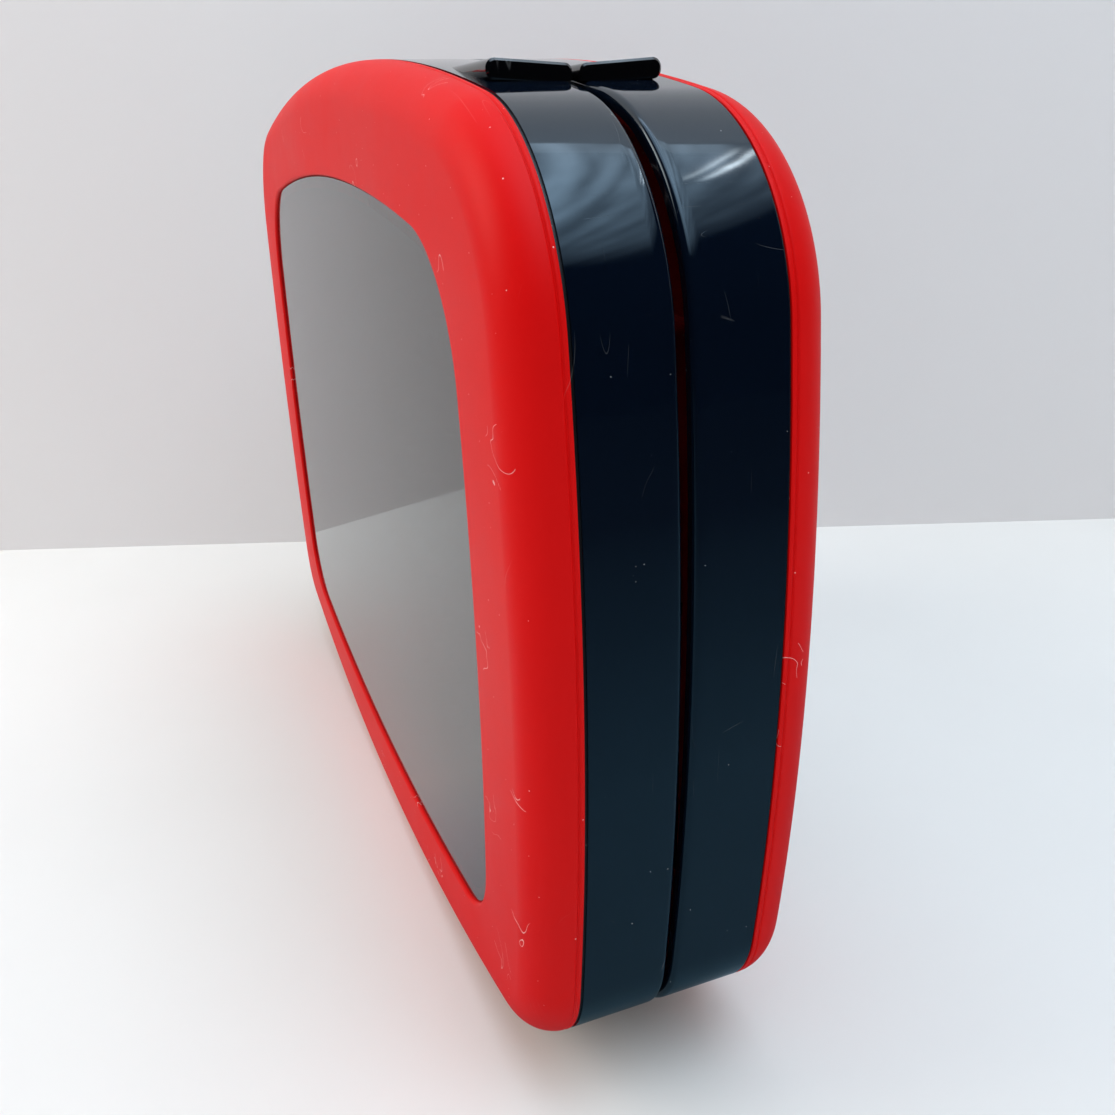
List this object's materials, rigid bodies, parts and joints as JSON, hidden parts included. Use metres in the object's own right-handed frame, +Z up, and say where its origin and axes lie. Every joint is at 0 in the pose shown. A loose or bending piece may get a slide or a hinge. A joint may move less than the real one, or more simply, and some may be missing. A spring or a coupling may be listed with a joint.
{
  "type": "fleet guessing case",
  "caption": "Standing clamshell game case: red soft-edged bezels, navy walls, smoked windows, finger tabs; opens to peg grids, ships and covered peg trays.",
  "frame": {"origin": "middle of the surface that the closed case stands on, on its hinge edge, in the seam plane", "axes": "+X along the width, +Y from the lid half to the base half through the thickness, +Z up from the hinge edge to the finger tabs"},
  "size_m": [0.272, 0.056, 0.2],
  "materials": {
    "navy_shell": "high gloss moulded navy, fine scratches",
    "black_trim": "matte black",
    "red_bezel": "satin soft-touch red with lint",
    "smoked_window": "polished smoked clear plastic",
    "red_deck": "semi-gloss moulded red",
    "steel": "turned, zinc plated",
    "black_tab": "high gloss black",
    "grid_board": "semi-gloss blue",
    "white_peg": "semi-gloss white",
    "red_peg": "semi-gloss red",
    "ship_grey": "matte moulded grey"
  },
  "bodies": {
    "base": {"base_wall": "navy_shell", "base_trim_ring": "black_trim", "base_bezel": "red_bezel", "base_window": "smoked_window", "base_deck": "red_deck", "ocean_grid": "grid_board", "base_screws": "steel", "base_tab_left": "black_tab", "base_tab_right": "black_tab", "catch_keeper": "black_tab", "hinge_pin_left": "steel", "hinge_pin_right": "steel", "white_peg_tray": "navy_shell", "red_peg_tray": "navy_shell", "white_pegs": "white_peg", "red_pegs": "red_peg"},
    "lid": {"lid_wall": "navy_shell", "lid_trim_ring": "black_trim", "lid_bezel": "red_bezel", "lid_window": "smoked_window", "lid_deck": "red_deck", "target_grid": "grid_board", "lid_screws": "steel", "lid_tab_left": "black_tab", "lid_tab_right": "black_tab", "catch_tongue": "black_tab", "white_target_pegs": "white_peg", "red_target_pegs": "red_peg"},
    "white_cover": {"white_peg_cover": "navy_shell"},
    "red_cover": {"red_peg_cover": "navy_shell"},
    "carrier": {"carrier": "ship_grey"},
    "dreadnought": {"dreadnought": "ship_grey"},
    "cruiser": {"cruiser": "ship_grey"},
    "submarine": {"submarine": "ship_grey"},
    "patrol_boat": {"patrol_boat": "ship_grey"}
  },
  "joints": [
    {"name": "lid_hinge", "type": "hinge", "parent": "base", "child": "lid", "pos_m": [0, 0, 0.004], "axis": [1, 0, 0], "range_deg": [0, 105]},
    {"name": "white_cover_slide", "type": "slide", "parent": "base", "child": "white_cover", "axis": [0, 0, 1], "range_m": [0, 0.05]},
    {"name": "red_cover_slide", "type": "slide", "parent": "base", "child": "red_cover", "axis": [0, 0, 1], "range_m": [0, 0.05]},
    {"name": "carrier_lift", "type": "slide", "parent": "base", "child": "carrier", "axis": [0, -1, 0], "range_m": [0, 0.006]},
    {"name": "dreadnought_lift", "type": "slide", "parent": "base", "child": "dreadnought", "axis": [0, -1, 0], "range_m": [0, 0.006]},
    {"name": "cruiser_lift", "type": "slide", "parent": "base", "child": "cruiser", "axis": [0, -1, 0], "range_m": [0, 0.006]},
    {"name": "submarine_lift", "type": "slide", "parent": "base", "child": "submarine", "axis": [0, -1, 0], "range_m": [0, 0.006]},
    {"name": "patrol_boat_lift", "type": "slide", "parent": "base", "child": "patrol_boat", "axis": [0, -1, 0], "range_m": [0, 0.006]}
  ]
}
